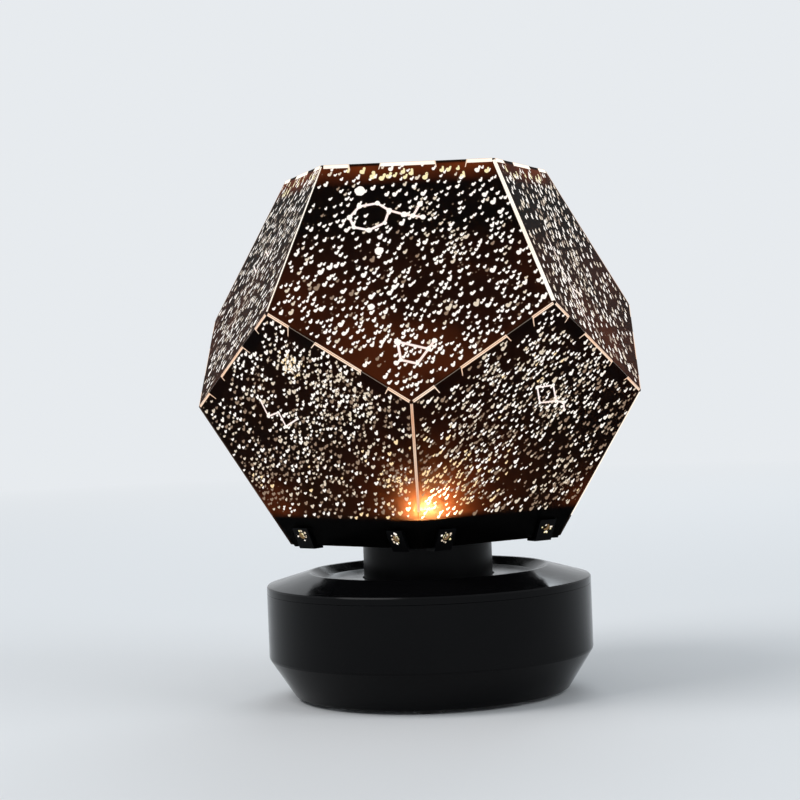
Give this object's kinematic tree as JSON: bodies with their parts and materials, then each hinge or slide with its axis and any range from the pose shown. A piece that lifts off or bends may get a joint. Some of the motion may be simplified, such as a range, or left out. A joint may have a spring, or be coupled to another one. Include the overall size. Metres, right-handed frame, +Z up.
{
  "type": "planetarium projector",
  "caption": "Home planetarium: a folded star-film dodecahedron with a lamp inside, turned by a geared motor on a round battery base with push buttons.",
  "frame": {"origin": "on the turning axis, at the level the feet stand on", "axes": "+Z up along the turning axis, -Y towards the front; the push buttons are in the rear wall, at +Y"},
  "size_m": [0.157, 0.1652, 0.191],
  "materials": {
    "star_film": "gloss, translucent where printed with stars",
    "tray_plastic": "satin black",
    "hub_plastic": "satin black",
    "housing_plastic": "polished black",
    "cover_plastic": "polished black",
    "door_plastic": "fine texture",
    "button_plastic": "satin",
    "foot_rubber": "matte",
    "gear_plastic": "natural acetal",
    "deck_plastic": "moulded",
    "motor_can": "drawn",
    "steel": "plated",
    "post_metal": "turned",
    "washer_brass": "bright",
    "sink_metal": "turned",
    "lamp_board_face": "white solder mask",
    "emitter_body": "phosphor",
    "lens_clear": "clear",
    "circuit_board": "green solder mask",
    "switch_case": "moulded",
    "cell_jacket": "printed jacket",
    "contact_nickel": "nickel plated"
  },
  "bodies": {
    "base": {"gear_motor": "motor_can", "motor_screws": "steel", "thrust_washer": "washer_brass", "lamp_post": "post_metal", "post_screws": "steel", "led_heatsink": "sink_metal", "led_board": "lamp_board_face", "led_emitter": "emitter_body", "led_lens": "lens_clear", "lamp_screws": "steel", "base_shell": "housing_plastic", "top_cover": "cover_plastic", "rubber_feet": "foot_rubber", "housing_screws": "steel", "gear_deck": "deck_plastic", "deck_screws": "steel", "battery_cells": "cell_jacket", "contact_plates": "contact_nickel", "battery_springs": "contact_nickel", "control_board": "circuit_board", "lamp_switch": "switch_case", "spin_switch": "switch_case"},
    "turntable": {"hub": "hub_plastic", "turntable_gear": "gear_plastic", "gear_screws": "steel", "shade_tray": "tray_plastic", "tray_screws": "steel", "shade_lower_ring": "star_film", "shade_upper_ring": "star_film", "shade_cap": "star_film"},
    "motor_pinion": {"drive_pinion": "gear_plastic", "motor_shaft": "steel"},
    "lamp_button": {"lamp_button": "button_plastic"},
    "spin_button": {"spin_button": "button_plastic"},
    "battery_door": {"battery_door": "door_plastic"}
  },
  "joints": [
    {"name": "turntable_spin", "type": "hinge", "parent": "base", "child": "turntable", "pos_m": [0, 0, 0.033], "axis": [0, 0, 1], "continuous": true},
    {"name": "pinion_spin", "type": "hinge", "parent": "base", "child": "motor_pinion", "pos_m": [0, -0.03615, 0.035], "axis": [0, 0, 1], "continuous": true},
    {"name": "lamp_press", "type": "slide", "parent": "base", "child": "lamp_button", "axis": [0, -1, 0], "range_m": [0, 0.0012], "stiffness_N_per_m": 400},
    {"name": "spin_press", "type": "slide", "parent": "base", "child": "spin_button", "axis": [0, -1, 0], "range_m": [0, 0.0012], "stiffness_N_per_m": 400},
    {"name": "battery_door_hinge", "type": "hinge", "parent": "base", "child": "battery_door", "pos_m": [-0.0273, 0, 0.00245], "axis": [0, 1, 0], "range_deg": [0, 90]}
  ],
  "couplings": [
    {"joint": "pinion_spin", "follows": "turntable_spin", "ratio": -5}
  ]
}
